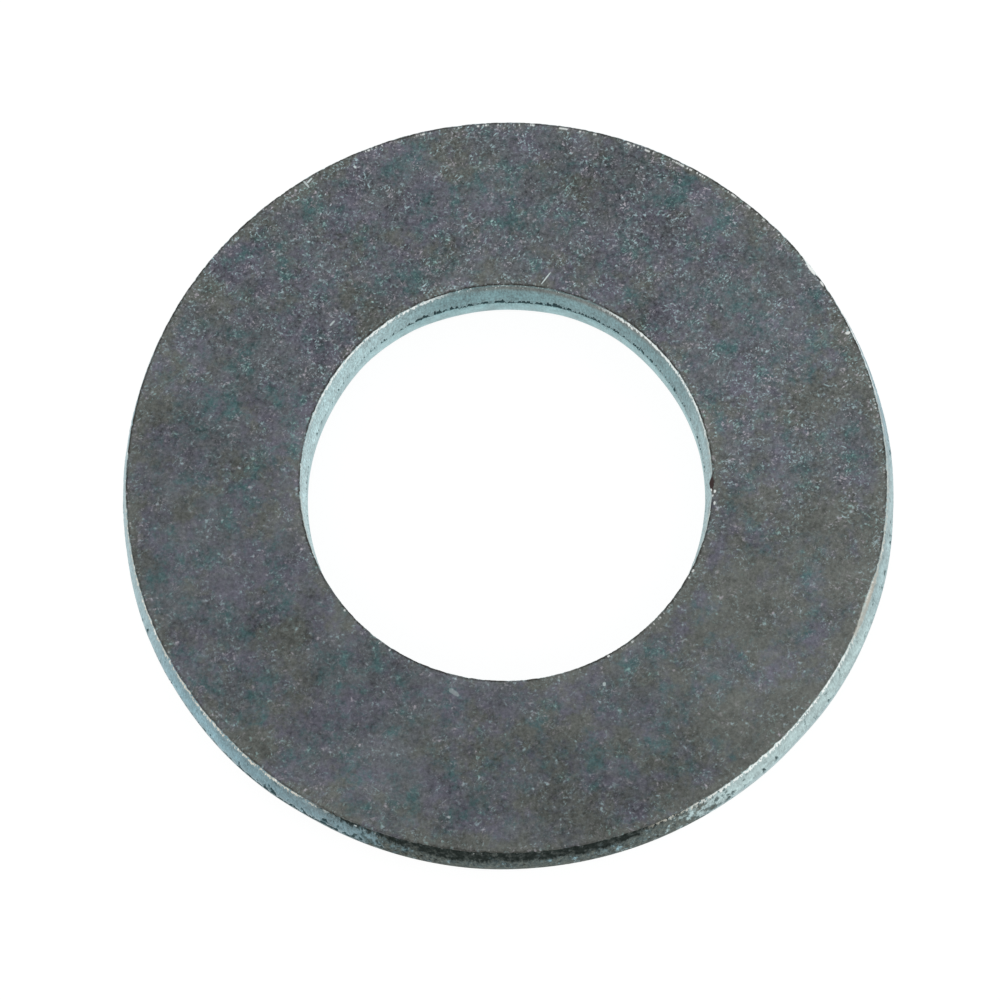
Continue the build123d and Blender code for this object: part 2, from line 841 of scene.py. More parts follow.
        self.line(ring.lower_rows, foot[bore], foot[rim], ON_FACE)

    def carve(self, mesh: Socket) -> Socket:
        """Cuts the torn zones, the notches above the lands and the nicks in the edges.

        Args:
            mesh: the turned section.

        Returns:
            The carved mesh.
        """
        g, ring = self.graph, self.ring
        place, in_bore = ring.place(g, g.add("GeometryNodeInputPosition").outputs[0])
        on_wall = g.add("GeometryNodeInputNamedAttribute", {"Name": "on_wall"}, data_type="FLOAT").outputs[0]
        rim = self.wall_values(place, ring.rim, ring.rim_nicks)
        bore = self.wall_values(place, ring.bore, ring.bore_nicks)
        depth, nick = (g.blend(a, b, in_bore) for a, b in zip(rim, bore))
        into_metal = g.blend(Wall.RIM.value, Wall.BORE.value, in_bore)
        inward = g.product(into_metal, g.total(g.product(depth, on_wall), g.product(nick, ring.nick_relief)))
        downward = g.product(-1.0, g.most(nick, 0.0), ring.nick_relief)
        push = g.scale(g.vector(place.east, place.north, 0.0), inward)
        offset = g.arrow("ADD", {0: push, 1: g.vector(0.0, 0.0, downward)})
        moved = g.add("GeometryNodeSetPosition", {"Geometry": mesh, "Offset": offset})
        bare = g.add("GeometryNodeRemoveAttribute", {"Geometry": moved.outputs[0], "Name": "on_wall"})
        return bare.outputs[0]

    def wall_values(self, place: RingPlace, wall: WallForm, nicks: Sequence[Nick]) -> tuple[Socket, Socket]:
        """Works out what the press left on one wall.

        Args:
            place: where the point lies.
            wall: the wall's sizes.
            nicks: the listed dents and burrs.

        Returns:
            How deep the wall is cut, and how deep it is dented, as a share of nick_relief.
        """
        g, ring, top = self.graph, self.ring, self.inputs["Thickness"]
        seed = g.total(self.inputs["Seed"], wall.side.value)
        torn = TornLine(place, wall, seed)
        grain = ring.grain.at(place, wall.radius, seed)
        out_of_round = g.total(*place.shares(wall.swollen))
        swell = g.product(-wall.swell, out_of_round, g.rise(place.height, top, wall.land_top))
        depth = g.total(g.product(torn.tear, grain, ring.tear_relief),
                        g.product(torn.notch, ring.notch_relief), swell)
        dents = ring.dent_step.at(g, ring.dents.at(place, wall.radius, seed))
        for nick in nicks:
            half = nick.length / wall.edge_radius / 2
            share = g.bell(place.turned_from(nick.bearing), 0.0, half)
            dents = g.total(dents, g.product(nick.depth / ring.nick_relief, share))
        near_edge = g.bell(place.apart(wall.edge_radius, top), 0.0, ring.nick_spread)
        return depth, g.product(dents, near_edge)


# --------------------------------------------------------------------------------------
# The finish
# --------------------------------------------------------------------------------------


@dataclass(frozen=True)
class Tint:
    """A colour that shows where a pattern is high.

    Args:
        colour: the colour.
        pattern: the pattern.
        step: how much of the pattern it takes.
    """

    colour: Colour
    pattern: Pattern
    step: Ramp

    def over(self, place: RingPlace, colour: Value, lean: Value = 0.0) -> Socket:
        """Returns a colour with the tint over it, and more of the tint where lean is above 0."""
        g = place.graph
        return g.mix(colour, self.colour, self.step.at(g, g.total(self.pattern.at(place), lean)))


@dataclass(frozen=True)
class Dashes:
    """One direction of the short rubbed dashes on the flat faces.

    Args:
        bearing: the way they point, in degrees from +X.
        length: how long one is, about.
        width: how wide one is, about.
        need: how much of the noise they leave out, from 0 to 1.
        seed: tells one direction's pattern from another's.
        softness: how soft their outline is.
        crowding: how far they gather in crowds.
        crowd_cells: how many crowds fit in a metre.
    """

    bearing: float
    length: float
    width: float
    need: float
    seed: float
    softness: float = 0.17
    crowding: float = 0.35
    crowd_cells: float = 1.1 / MM

    def at(self, place: RingPlace) -> Socket:
        """Works out how strongly a dash shows.

        Args:
            place: where the point lies.

        Returns:
            The strength, from 0 to 1.
        """
        g = place.graph
        turn, cell = (0.0, 0.0, math.radians(self.bearing)), (self.length, self.width, self.length)
        turned = g.add("ShaderNodeMapping", {"Vector": place.position, "Rotation": turn, "Scale": cell},
                       vector_type="TEXTURE")
        crowd = Pattern(self.crowd_cells, 2.0, 0.6, self.seed + 0.5, self.crowding)
        value = g.total(g.noise(turned.outputs[0], 1.0, 1.0, 0.5, self.seed), crowd.swing(place))
        return g.rise(value, self.need, self.need + self.softness)


COOL_MOTTLE = Pattern(1.40 / MM, 5.0, 0.80, 2.0)


@dataclass(frozen=True)
class FacePlate:
    """The plating on the flat faces.

    It is a dull grey film with a faint violet, teal and grey-green mottle, fine grain, pale specks,
    partly bare zinc and partly painted glints, and short dashes where the zinc is rubbed bare.

    Args:
        neutral: the film's own colour.
        violet: its violet tint.
        teal: its teal tint.
        teal_at_edge: how far that one gathers beside the edges, below 0 as it thins there.
        olive: its grey-green tint.
        olive_at_edge: how far that one gathers beside the edges.
        olive_outside: how far it gathers in the outer zone of the ring.
        outer: where the outer zone starts and is full, as shares of the rim's radius.
        warm: a sector where it gathers too.
        region: the large patches in which it gathers.
        tone: how light the film is in the mean.
        bright: where it is lighter.
        edge_tone: how much lighter it is beside the edges, and how far specks gather there.
        edge_band: how wide the zone beside each edge is.
        rear: where grain and rubbed marks are strongest.
        rear_grain: how strong the fine grain is elsewhere, and there.
        rear_marks: how strong dashes and grains are elsewhere, and there.
        fine: the fine grain.
        mottles: the coarser grain, and two sizes of clouds.
        speck: the colour of the pale specks, partly a painted glint.
        green_speck: where they are green.
        rose_speck: where they are rose.
        dots: the pattern of the round specks.
        dot_step: how much of it shows.
        grains: the pattern of the finest specks.
        grain_step: how much of it shows.
        dashes: the short dashes.
        clumps: the pattern in which specks gather.
        clump_step: how far they do.
    """

    neutral: Colour = (0.139, 0.151, 0.163)
    violet: Tint = Tint((0.148, 0.148, 0.184), Pattern(0.80 / MM, 5.0, 0.76, 1.0), Ramp(0.42, 0.60))
    teal: Tint = Tint((0.082, 0.158, 0.164), COOL_MOTTLE, Ramp(0.46, 0.70))
    teal_at_edge: float = -0.04
    olive: Tint = Tint((0.141, 0.151, 0.140), Pattern(0.80 / MM, 5.0, 0.74, 3.0), Ramp(0.50, 0.68))
    olive_at_edge: float = 0.10
    olive_outside: float = 0.04
    outer: tuple[float, float] = (0.75, 0.97)
    warm: Sector = Sector(322.0, 40.0, 40.0, 0.09)
    region: Pattern = Pattern(0.22 / MM, 2.0, 0.5, 33.0, 0.26)
    tone: float = 0.845
    bright: Sector = Sector(-8.0, 38.0, 34.0, 0.16)
    edge_tone: float = 0.10
    edge_band: float = 0.50 * MM
    rear: Sector = Sector(70.0, 85.0, 30.0)
    rear_grain: tuple[float, float] = (0.68, 1.0)
    rear_marks: tuple[float, float] = (0.26, 0.80)
    fine: Pattern = Pattern(13.0 / MM, 2.0, 0.6, 4.0, 1.60)
    mottles: Sequence[Pattern] = (
        Pattern(4.5 / MM, 2.0, 0.6, 11.0, 0.55),
        Pattern(1.4 / MM, 3.0, 0.6, 13.0, 0.68),
        Pattern(0.35 / MM, 3.0, 0.6, 12.0, 0.85),
    )
    # partly painted glints: the colour of the pale specks
    speck: Colour = (0.52, 0.71, 0.75)
    green_speck: Tint = Tint((0.40, 0.64, 0.60), COOL_MOTTLE, Ramp(0.50, 0.60))
    rose_speck: Tint = Tint((0.62, 0.58, 0.64), Pattern(3.5 / MM, 1.0, 0.5, 27.0), Ramp(0.48, 0.62))
    dots: Pattern = Pattern(7.5 / MM, 2.0, 0.5, 20.0)
    dot_step: Ramp = Ramp(0.565, 0.78, 0.0, 0.60)
    grains: Pattern = Pattern(12.5 / MM, 1.0, 0.5, 28.0)
    grain_step: Ramp = Ramp(0.58, 0.80, 0.0, 0.9)
    dashes: Sequence[Dashes] = (
        Dashes(38.0, 0.135 * MM, 0.058 * MM, 0.64, 21.0),
        Dashes(62.0, 0.110 * MM, 0.060 * MM, 0.65, 22.0),
        Dashes(-20.0, 0.120 * MM, 0.060 * MM, 0.65, 23.0),
        Dashes(105.0, 0.090 * MM, 0.070 * MM, 0.65, 24.0),
    )
    clumps: Pattern = Pattern(1.9 / MM, 4.0, 0.7, 5.0)
    clump_step: Ramp = Ramp(0.38, 0.68, 0.16, 1.15)

    def colour(self, place: RingPlace, ring: Ring) -> Socket:
        """Works out the colour of the flat faces.

        Args:
            place: where the point lies.
            ring: the ring's sizes.

        Returns:
            The colour.
        """
        g = place.graph
        inward = g.minus(ring.rim.edge_radius, place.radius)
        outward = g.minus(place.radius, ring.bore.edge_radius)
        at_edge = g.rise(g.math("MINIMUM", inward, outward), self.edge_band, 0.0)
        outer = g.rise(place.radius, *(share * ring.rim.radius for share in self.outer))
        lean = g.total(*place.shares([self.warm]), g.product(self.olive_at_edge, at_edge),
                       g.product(self.olive_outside, outer), self.region.swing(place))
        colour = self.violet.over(place, self.neutral)
        colour = self.teal.over(place, colour, g.product(self.teal_at_edge, at_edge))
        colour = self.olive.over(place, colour, lean)
        colour = g.scale(colour, g.total(self.light(place), g.product(self.edge_tone, at_edge)))
        tint = self.rose_speck.over(place, self.green_speck.over(place, self.speck))
        # pale specks, partly painted glints
        return g.mix(colour, tint, self.specks(place, at_edge))

    def light(self, place: RingPlace) -> Socket:
        """Works out how light the film is.

        Args:
            place: where the point lies.

        Returns:
            The lightness, 1 being the colours as they are given.
        """
        g = place.graph
        fine = g.product(self.fine.swing(place), g.blend(*self.rear_grain, place.sector(self.rear)))
        mottles = (pattern.swing(place) for pattern in self.mottles)
        return g.total(self.tone, *place.shares([self.bright]), fine, *mottles)

    def specks(self, place: RingPlace, at_edge: Socket) -> Socket:
        """Works out how strongly a pale speck or a short dash shows.

        Args:
            place: where the point lies.
            at_edge: how near it lies to one of the upper edges.

        Returns:
            The strength, from 0 to 1.
        """
        g = place.graph
        dots = self.dot_step.at(g, self.dots.at(place))
        grains = self.grain_step.at(g, self.grains.at(place))
        marks = g.most(*(dashes.at(place) for dashes in self.dashes), grains)
        marks = g.product(marks, g.blend(*self.rear_marks, place.sector(self.rear)))
        clump = g.total(self.clumps.at(place), g.product(self.edge_tone, at_edge))
        return g.product(g.most(dots, marks), self.clump_step.at(g, clump))


@dataclass(frozen=True)
class CutWall:
    """The cut metal of one wall under thin plating.

    Args:
        form: the wall's sizes.
        torn: the colour of the torn zone.
        smooth: the colour of the smooth land.
        foot: the colour of the roll.
        highlight: the paler colour of a painted highlight on the wall.
        highlight_sectors: where that is.
        notch: the darker colour in the notches above the land, painted shade in their hollows.
        grit: how strong its streaks and hairs are.
        dull: where the torn zone is duller under its edge, with painted shade.
        shaded: where the wall is darker, a painted shade.
        shading: how much lighter it is there, below 0 as it is darker.
        under_edge_shade: the colour of the painted shade in a duller band under the edge.
        under_edge_shade_depth: how far below the edge its middle lies, and how wide it is.
        under_edge_shade_share: how well it covers elsewhere, and where it is dull.
        notch_cover: how well the notches' painted shade covers.
        streak: its upright streaks.
        hair: its finest streaks.
        cloud: its lighter and darker patches.
        smooth_grit: how strong streaks and hairs are on the land, against the torn zone.
        smooth_highlight: how well the painted highlight covers the land, against the torn zone.
        foot_fade: where the roll's colour starts and is full, as shares of the roll's height.
    """

    form: WallForm
    torn: Colour
    smooth: Colour
    foot: Colour
    pale: Colour
    highlight_sectors: Sequence[Sector]
    notch: Colour
    grit: float
    dull: Sequence[Sector] = ()
    shaded: Sequence[Sector] = ()
    shading: float = -0.34
    under_edge_shade: Colour = (0.115, 0.134, 0.126)
    under_edge_shade_depth: tuple[float, float] = (0.18 * MM, 0.18 * MM)
    under_edge_shade_share: tuple[float, float] = (0.22, 1.0)
    notch_cover: float = 0.90
    streak: WallPattern = WallPattern(0.075 * MM, 4.0 / MM, 3.0, 0.72, 6.0, 1.6)
    hair: WallPattern = WallPattern(0.042 * MM, 8.0 / MM, 1.0, 0.5, 22.0, 1.9)
    cloud: Pattern = Pattern(2.4 / MM, 4.0, 0.65, 7.0, 1.1)
    smooth_grit: float = 0.35
    smooth_highlight: float = 0.6
    foot_fade: tuple[float, float] = (1.0, 0.4)

    def colour(self, place: RingPlace, thickness: float, seed: float) -> tuple[Socket, Socket]:
        """Works out the wall's colour.

        Args:
            place: where the point lies.
            thickness: the height of the upper face.
            seed: the ring's seed.

        Returns:
            The colour, and how far a notch lies there.
        """
        g, form = place.graph, self.form
        torn = TornLine(place, form, seed + form.side.value)
        low = g.rise(place.height, *(share * form.roll_height for share in self.foot_fade))
        colour = g.mix(g.mix(self.smooth, self.foot, low), self.torn, torn.tear)
        # painted highlight: a paler colour in the listed sectors
        pale = g.product(place.sectors(self.highlight_sectors), g.blend(self.smooth_highlight, 1.0, torn.tear))
        colour = g.mix(colour, self.pale, pale)
        # painted shade: a darker band under the edge, full where the torn zone is dull
        band = g.bell(g.minus(thickness, place.height), *self.under_edge_shade_depth)
        band = g.product(band, g.blend(*self.under_edge_shade_share, place.sectors(self.dull)))
        colour = g.mix(colour, self.under_edge_shade, band)
        fine = g.product(self.grit, g.blend(self.smooth_grit, 1.0, torn.tear))
        streaks = g.total(self.streak.swing(place, form.radius), self.hair.swing(place, form.radius))
        # painted shade: the wall is darker in the shaded sectors
        light = g.total(1.0, g.product(streaks, fine), self.cloud.swing(place),
                        g.product(self.shading, place.sectors(self.shaded)))
        colour = g.scale(colour, light)
        # painted shade: the notches are darker
        return g.mix(colour, self.notch, g.product(self.notch_cover, torn.notch)), torn.notch


@dataclass(frozen=True)
class PaintedShadeSheet:
    """The painted shade that hangs down a wall from its edge: a near-black sheet of colour that stands in for
    the dark reflection of the rim's front.

    Args:
        form: the wall's sizes.
        sectors: where it hangs, and how far.
        reach: how far down it hangs at most.
        colour: its colour.
        grain: how strong its grain is.
        patch: the patches that shift its lower border and thin it.
        patch_reach: how far they shift the border.
        streak: the streaks that shift it too.
        border: how soft it is.
        ends: how fast it starts at the ends of its sectors.
        thinning: how thin it is where the patches are low.
    """

    form: WallForm
    sectors: Sequence[Sector]
    reach: float = 0.66 * MM
    # painted shade: the near-black colour of the rim front's dark reflection
    colour: Colour = (0.020, 0.026, 0.024)
    grain: float = 2.0
    patch: WallPattern = WallPattern(0.20 * MM, 3.4 / MM, 4.0, 0.7, 16.0)
    patch_reach: float = 0.60 * MM
    streak: WallPattern = WallPattern(0.05 * MM, 2.0 / MM, 2.0, 0.6, 24.0, 0.40 * MM)
    border: Ramp = Ramp(-0.10 * MM, 0.16 * MM)
    ends: Ramp = Ramp(0.0, 0.15)
    thinning: Ramp = Ramp(-0.16, 0.04, 0.55, 1.0)

    def share(self, place: RingPlace, thickness: float) -> Socket:
        """Works out how far the painted dark sheet covers the wall.

        Args:
            place: where the point lies.
            thickness: the height of the upper face.

        Returns:
            The share, from 0 to 1.
        """
        g, radius = place.graph, self.form.radius
        hanging, patch = place.sectors(self.sectors), self.patch.swing(place, radius)
        above = g.total(g.product(self.reach, hanging), g.product(self.patch_reach, patch),
                        self.streak.swing(place, radius), g.minus(place.height, thickness))
        return g.product(self.ends.at(g, hanging), self.border.at(g, above), self.thinning.at(g, patch))


@dataclass(frozen=True)
class ShadeMottle:
    """The painted shade that mottles a wall, brown-grey where it is thick and teal where it is thin.

    Args:
        form: the wall's sizes.
        sectors: where it is thick.
        colour: its colour there.
        cold: its colour elsewhere.
        grain: how strong its grain is.
        cover: how well it covers.
        dulling: how far it takes the metal's shine.
        patch: the pattern that it follows.
        patch_step: how much of the pattern it takes.
        foot: where it ends and is full up the roll, as shares of the roll's height.
        cold_patch: the pattern of its teal patches.
        cold_step: how much of that pattern they take.
    """

    form: WallForm
    sectors: Sequence[Sector]
    # painted shade: the mottle's brown-grey colour, and its teal where it is thin
    colour: Colour = (0.080, 0.084, 0.070)
    cold: Colour = (0.068, 0.104, 0.108)
    grain: float = 5.0
    cover: float = 0.88
    dulling: float = 0.7
    patch: WallPattern = WallPattern(0.24 * MM, 2.4 / MM, 4.0, 0.75, 19.0, 3.4)
    patch_step: Ramp = Ramp(0.25, 0.75)
    foot: tuple[float, float] = (0.45, 0.62)
    cold_patch: WallPattern = WallPattern(0.30 * MM, 2.0 / MM, 3.0, 0.7, 26.0, 2.0)
    cold_step: Ramp = Ramp(0.20, 0.60)

    def share(self, place: RingPlace) -> Socket:
        """Works out how far the painted shade mottle covers the wall.

        Args:
            place: where the point lies.

        Returns:
            The share, from 0 to 1.
        """
        g = place.graph
        share = g.total(place.sectors(self.sectors), self.patch.swing(place, self.form.radius))
        above_foot = g.rise(place.height, *(part * self.form.roll_height for part in self.foot))
        return g.product(above_foot, self.patch_step.at(g, share))

    def tint(self, place: RingPlace) -> Socket:
        """Works out the painted shade mottle's colour.

        Args:
            place: where the point lies.

        Returns:
            The colour, from brown-grey to teal.
        """
        g = place.graph
        cold = g.total(g.rest(place.sectors(self.sectors)), self.cold_patch.swing(place, self.form.radius))
        return g.mix(self.colour, self.cold, self.cold_step.at(g, cold))


@dataclass(frozen=True)
class PaintedWallShade:
    """Painted shade on a wall: a mottle with a dark sheet over it, both with the same grain.

    Args:
        shade_sheet: the painted dark sheet.
        shade_mottle: the painted shade mottle.
        grain: their grain.
    """

    shade_sheet: PaintedShadeSheet
    shade_mottle: ShadeMottle
    grain: WallPattern = WallPattern(0.09 * MM, 6.0 / MM, 3.0, 0.7, 23.0)

    def over(self, place: RingPlace, thickness: float, colour: Socket) -> tuple[Socket, Socket]:
        """Lays the painted shade mottle and the painted dark sheet over a wall.

        Args:
            place: where the point lies.
            thickness: the height of the upper face.
            colour: the wall's colour.

        Returns:
            The new colour, and how far the wall's shine is covered.
        """
        g = place.graph
        # painted shade: the mottle and the dark sheet over the wall
        shade_sheet, shade_mottle = self.shade_sheet.share(place, thickness), self.shade_mottle.share(place)
        grain = self.grain.swing(place, self.shade_sheet.form.radius)
        layers = ((self.shade_mottle.tint(place), self.shade_mottle.grain, g.product(self.shade_mottle.cover, shade_mottle)),
                  (self.shade_sheet.colour, self.shade_sheet.grain, shade_sheet))
        for tint, strength, cover in layers:
            colour = g.mix(colour, g.scale(tint, g.total(1.0, g.product(strength, grain))), cover)
        return colour, g.most(shade_sheet, g.product(self.shade_mottle.dulling, shade_mottle))


@dataclass(frozen=True)
class WornEdge:
    """The sharp upper edge of a wall: a lip on the wall, rubbed metal with a painted highlight, painted
    glints beside it on the face and a thin line of painted shade at the edge.

    Args:
        form: the wall's sizes.
        bright: where the lip's painted highlight is bright in one line.
        dim: where the lip has a duller painted highlight.
        glinting: where the painted glints on the face beside the edge are most.
        outlined: where the edge itself is a strong dark line of painted shade.
        lip_depth: how far below the face the lip covers the wall.
        lip_width: how wide the fade below it is.
        lip_highlight: the colour of the rubbed metal with its painted highlight, which the glints take too.
        dull_lip_highlight: its colour where it is duller.
        shade: the colour of the thin dark line of painted shade at the edge.
        face_fade: how far below the upper face the face's own marks fade out.
        dots: the pattern of the shortest spots of the lip's highlight.
        teeth: the pattern of the lip's lower border.
        spots: the pattern of the glints.
        runs: the pattern of the longer runs of the lip's highlight.
        crowds: the pattern in which glints gather.
        nibble: how far the dots shift the dark line.
        waver: how far the runs shift every line of the edge.
        line: how far inside the edge the dark line's middle lies, and how wide it is.
        line_share: how strong it is elsewhere, and where the edge is outlined.
        line_step: how the runs interrupt it.
        glint: how far inside the edge the glints lie, and how wide they are.
        glint_need: how rare they are elsewhere, and where the edge glints most.
        glint_share: how bright they are elsewhere, and there.
        glint_softness: how soft their ends are.
        run_share: how far the lip's highlight gathers in the runs.
        bright_step: how closed the bright lip is.
        dim_step: how closed the duller lip is.
        sparse_share: how far single bright points elsewhere gather in the runs.
        sparse_step: how rare they are.
    """

    form: WallForm
    bright: Sequence[Sector]
    dim: Sequence[Sector]
    glinting: Sequence[Sector]
    outlined: Sequence[Sector]
    lip_depth: float
    lip_width: float
    # painted highlight: the bright colour of the lip and the glints
    lip_highlight: Colour = (0.86, 0.91, 0.89)
    dull_lip_highlight: Colour = (0.60, 0.59, 0.52)
    # painted shade: the dark line at the edge
    shade: Colour = (0.036, 0.034, 0.030)
    face_fade: Ramp = Ramp(0.035 * MM, 0.010 * MM)
    dots: WallPattern = WallPattern(0.075 * MM, 8.0 / MM, 2.0, 0.6, 14.0)
    teeth: WallPattern = WallPattern(0.075 * MM, 3.0 / MM, 2.0, 0.6, 25.0, 0.60 * MM)
    spots: WallPattern = WallPattern(0.12 * MM, 0.0, 3.0, 0.7, 17.0)
    runs: WallPattern = WallPattern(0.60 * MM, 0.0, 2.0, 0.6, 15.0)
    crowds: WallPattern = WallPattern(1.05 * MM, 0.0, 2.0, 0.6, 29.0, -0.30)
    nibble: float = 0.10 * MM
    waver: float = 0.08 * MM
    line: tuple[float, float] = (0.036 * MM, 0.030 * MM)
    line_share: tuple[float, float] = (0.30, 0.90)
    line_step: Ramp = Ramp(0.34, 0.54, 0.20, 1.0)
    glint: tuple[float, float] = (0.080 * MM, 0.024 * MM)
    glint_need: tuple[float, float] = (0.62, 0.555)
    glint_share: tuple[float, float] = (0.30, 0.92)
    glint_softness: float = 0.09
    run_share: float = 0.4
    bright_step: Ramp = Ramp(0.34, 0.46)
    dim_step: Ramp = Ramp(0.40, 0.52)
    sparse_share: float = 0.5
    sparse_step: Ramp = Ramp(0.62, 0.74)

    def over(self, place: RingPlace, thickness: float, unshaded: Socket, colour: Socket) -> Socket:
        """Lays the edge's painted highlights and shade over a colour.

        Args:
            place: where the point lies.
            thickness: the height of the upper face.
            unshaded: how far the wall is free of the painted shade of the dark sheet, the mottle and the
                notches.
            colour: the colour below.

        Returns:
            The new colour.
        """
        g, form = place.graph, self.form
        dots = self.dots.at(place, form.radius)
        runs = self.runs.at(place, form.radius)
        run = g.minus(runs, NOISE_MEAN)
        below = g.minus(thickness, place.height)
        on_face = self.face_fade.at(g, below)
        inside = g.product(form.side.value, g.minus(place.radius, form.edge_radius))
        inside = g.total(inside, g.product(self.waver, run))
        # painted shade: a thin dark line at the edge
        colour = self.lined(place, g.product(on_face, self.line_step.at(g, runs)), inside, dots, colour)
        # painted highlights: glints on the face beside the edge
        colour = self.glinted(place, on_face, inside, colour)
        ragged = g.total(below, g.product(self.waver, run), self.teeth.swing(place, form.radius))
        band = g.product(g.rest(on_face), g.rise(ragged, self.lip_depth + self.lip_width, self.lip_depth))
        # painted highlight: the lip, rubbed metal that shines in a bright line
        glint_spots = g.total(dots, g.product(self.run_share, run))
        lips = ((self.dim, self.dull_lip_highlight, self.dim_step), (self.bright, self.lip_highlight, self.bright_step))
        for sectors, tint, step in lips:
            colour = g.mix(colour, tint, g.product(band, place.sectors(sectors), step.at(g, glint_spots)))
        sparse = self.sparse_step.at(g, g.total(dots, g.product(self.sparse_share, run)))
        return g.mix(colour, self.lip_highlight, g.product(band, sparse, unshaded))

    def lined(self, place: RingPlace, share: Socket, inside: Socket, dots: Socket, colour: Socket) -> Socket:
        """Lays the thin dark line of painted shade over a colour.

        Args:
            place: where the point lies.
            share: how much of the line shows at most.
            inside: how far inside the edge the point lies.
            dots: the shortest spots of the lip's highlight.
            colour: the colour below.

        Returns:
            The new colour.
        """
        g = place.graph
        nibbled = g.total(inside, g.product(self.nibble, g.minus(dots, NOISE_MEAN)))
        strength = g.blend(*self.line_share, place.sectors(self.outlined))
        return g.mix(colour, self.shade, g.product(share, g.bell(nibbled, *self.line), strength))

    def glinted(self, place: RingPlace, share: Socket, inside: Socket, colour: Socket) -> Socket:
        """Lays the painted glints over a colour.

        Args:
            place: where the point lies.
            share: how much of them shows at most.
            inside: how far inside the edge the point lies.
            colour: the colour below.

        Returns:
            The new colour.
        """
        g, radius = place.graph, self.form.radius
        glinting = place.sectors(self.glinting)
        need = g.total(g.blend(*self.glint_need, glinting), self.crowds.swing(place, radius))
        glint = g.rise(self.spots.at(place, radius), need, g.total(need, self.glint_softness))
        strength = g.blend(*self.glint_share, glinting)
        return g.mix(colour, self.lip_highlight, g.product(share, g.bell(inside, *self.glint), glint, strength))


@dataclass(frozen=True)
class Mark:
    """One spot on the ring, at a place of its own.

    Args:
        bearing: its direction from the axis in degrees.
        radius: how far it lies from the axis.
        height: how high it lies.
        along: its half length round the ring.
        across: its half width away from the axis.
        tall: its half height.
        colour: its colour.
        strength: how well it covers, from 0 to 1.
        raggedness: how uneven its outline is.
        outline: how soft it is.
    """

    bearing: float
    radius: float
    height: float
    along: float
    across: float
    tall: float
    colour: Colour
    strength: float = 1.0
    raggedness: float = 1.4
    outline: Ramp = Ramp(1.15, 0.70)

    def over(self, place: RingPlace, ragged: Socket, colour: Socket) -> Socket:
        """Lays the spot over a colour.

        Args:
            place: where the point lies.
            ragged: what makes the outline uneven.
            colour: the colour below.

        Returns:
            The new colour.
        """
        g = place.graph
        away = g.length(g.ratio(g.product(place.radius, place.turned_from(self.bearing)), self.along),
                        g.ratio(g.minus(place.radius, self.radius), self.across),
                        g.ratio(g.minus(place.height, self.height), self.tall))
        share = self.outline.at(g, g.total(away, g.product(self.raggedness, ragged)))
        return g.mix(colour, self.colour, g.product(self.strength, share))


@dataclass(frozen=True)
class Scratch:
    """One bright scratch on the upper face.

    Args:
        x: where its middle lies along X.
        y: where its middle lies along Y.
        length: how long it is.
        width: how wide it is.
        bearing: the way it points, in degrees from +X.
        strength: how bright it is, from 0 to 1.
        metal: the colour of the bare metal.
        raggedness: how uneven its outline is.
        outline: how soft it is.
        bluntness: the powers that make its ends blunt and its sides soft.
    """

    x: float
    y: float
    length: float
    width: float
    bearing: float
    strength: float = 1.0
    metal: Colour = (0.62, 0.72, 0.72)
    raggedness: float = 1.6
    outline: Ramp = Ramp(1.5, 0.5)
    bluntness: tuple[float, float] = (4.0, 2.0)

    def over(self, place: RingPlace, ragged: Socket, colour: Socket) -> Socket:
        """Lays the scratch over a colour.

        Args:
            place: where the point lies.
            ragged: what makes the outline uneven.
            colour: the colour below.

        Returns:
            The new colour.
        """
        g = place.graph
        middle = g.arrow("SUBTRACT", {0: place.position, 1: (self.x, self.y, 0.0)})
        turned = g.add("ShaderNodeVectorRotate", {"Vector": middle, "Angle": -math.radians(self.bearing)},
                       rotation_type="Z_AXIS")
        along, across, _ = g.parts(turned.outputs[0])
        shares = [g.math("ABSOLUTE", g.ratio(along, self.length / 2)),
                  g.math("ABSOLUTE", g.ratio(across, self.width / 2))]
        away = g.total(*(g.math("POWER", share, power) for share, power in zip(shares, self.bluntness)))
        share = self.outline.at(g, g.total(away, g.product(self.raggedness, ragged)))
        return g.mix(colour, self.metal, g.product(self.strength, share))


